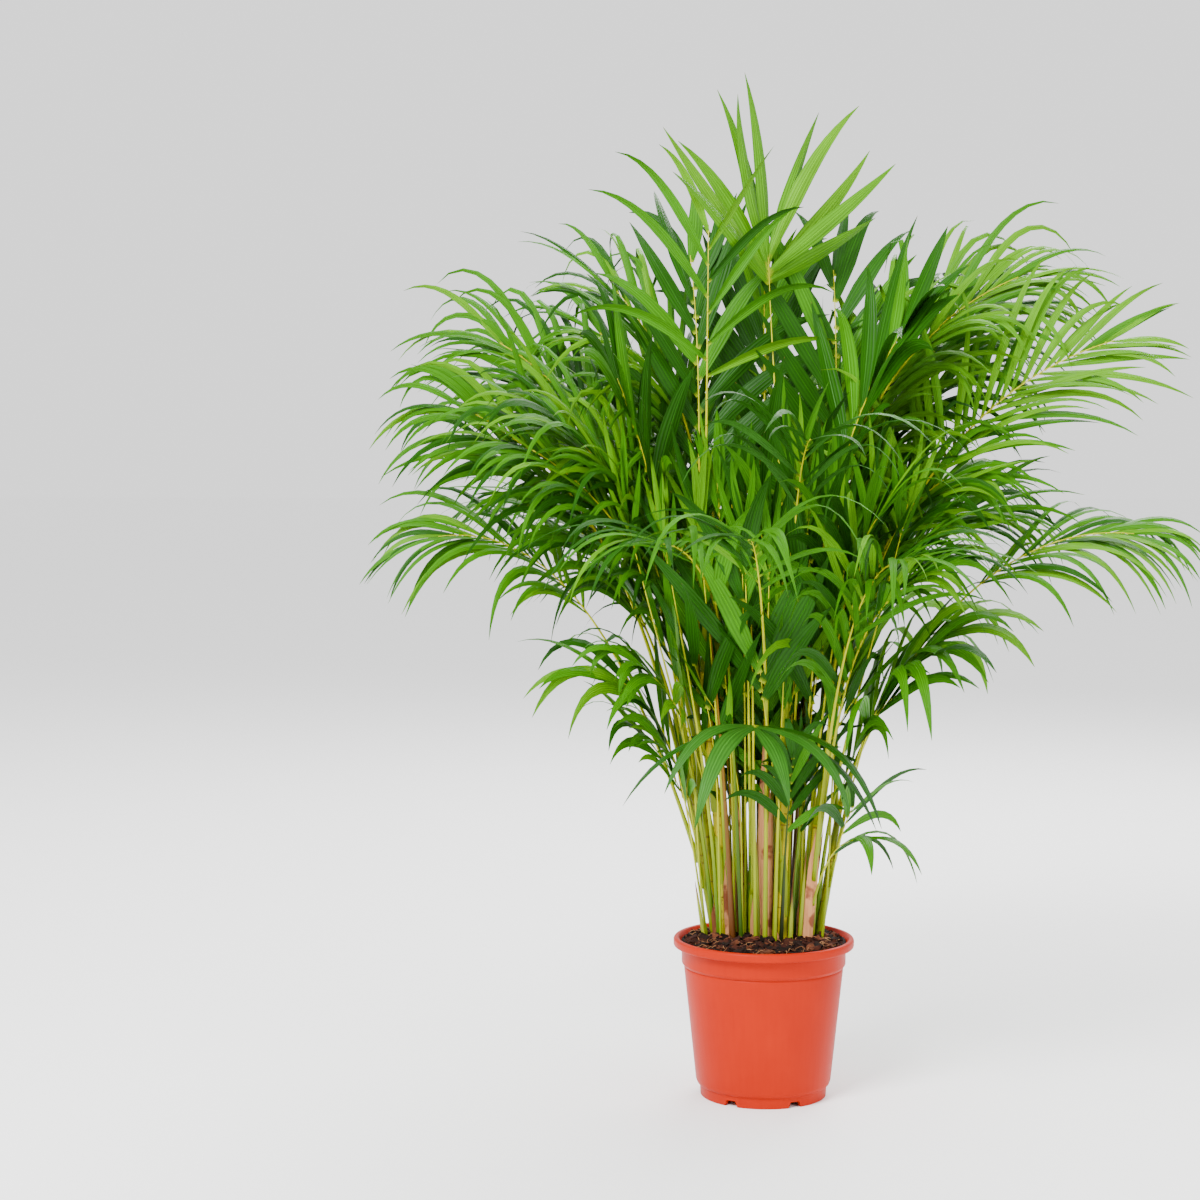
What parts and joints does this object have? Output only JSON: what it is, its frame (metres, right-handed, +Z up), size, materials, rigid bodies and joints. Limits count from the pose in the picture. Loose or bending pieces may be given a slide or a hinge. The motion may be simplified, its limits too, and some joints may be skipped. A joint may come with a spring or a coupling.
{
  "type": "potted areca palm",
  "caption": "Clump-forming feather palm with slender canes and arching fronds, in a round plastic nursery pot filled with soil.",
  "frame": {"origin": "centre of the pot's flat underside, where it stands on the floor", "axes": "+Z up, -Y towards the side that the picture shows, +X to its right"},
  "size_m": [0.8069, 0.7067, 1.0012],
  "materials": {
    "pot": "satin moulded plastic",
    "soil": "coarse damp potting mix",
    "cane": "smooth ringed cane",
    "frond": "satin leaf",
    "new_frond": "satin young leaf"
  },
  "bodies": {
    "root": {"cane_back_centre": "cane", "cane_back_inner_left": "cane", "cane_back_inner_right": "cane", "cane_back_left": "cane", "cane_back_right": "cane", "cane_centre": "cane", "cane_centre_left": "cane", "cane_far_right": "cane", "cane_front_left": "cane", "cane_front_right": "cane", "cane_inner_left": "cane", "cane_inner_right": "cane", "cane_left": "cane", "cane_right": "cane", "frond_back_1_1": "frond", "frond_back_1_2": "frond", "frond_back_1_3": "frond", "frond_back_1_4": "frond", "frond_back_1_5": "frond", "frond_back_2_1": "frond", "frond_back_2_2": "frond", "frond_back_2_3": "frond", "frond_back_2_4": "frond", "frond_back_2_5": "frond", "frond_back_3_1": "frond", "frond_back_3_2": "frond", "frond_back_3_3": "frond", "frond_front_arch": "frond", "frond_front_arch_stalk": "frond", "frond_front_dark_vee": "frond", "frond_front_hand": "frond", "frond_front_left_droop": "frond", "frond_front_right_droop": "frond", "frond_front_right_low": "frond", "frond_left_centre_dark": "frond", "frond_left_centre_upright": "frond", "frond_left_inner_arch": "frond", "frond_left_low_arch": "frond", "frond_left_low_arch_stalk": "frond", "frond_left_low_front": "frond", "frond_left_middle_arch": "frond", "frond_left_middle_low": "frond", "frond_left_small": "frond", "frond_left_upper_arch": "frond", "frond_left_upper_back": "frond", "frond_right_big_feather": "frond", "frond_right_centre_dark": "frond", "frond_right_front_broad": "frond", "frond_right_low_arch": "frond", "frond_right_low_arch_stalk": "frond", "frond_right_low_broad": "frond", "frond_right_middle": "frond", "frond_right_small_lower": "frond", "frond_right_small_upper": "frond", "frond_right_upper_arch": "frond", "frond_right_upper_inner": "frond", "frond_top_fan": "new_frond", "frond_top_spear": "new_frond", "pot": "pot", "soil": "soil"}
  },
  "joints": []
}
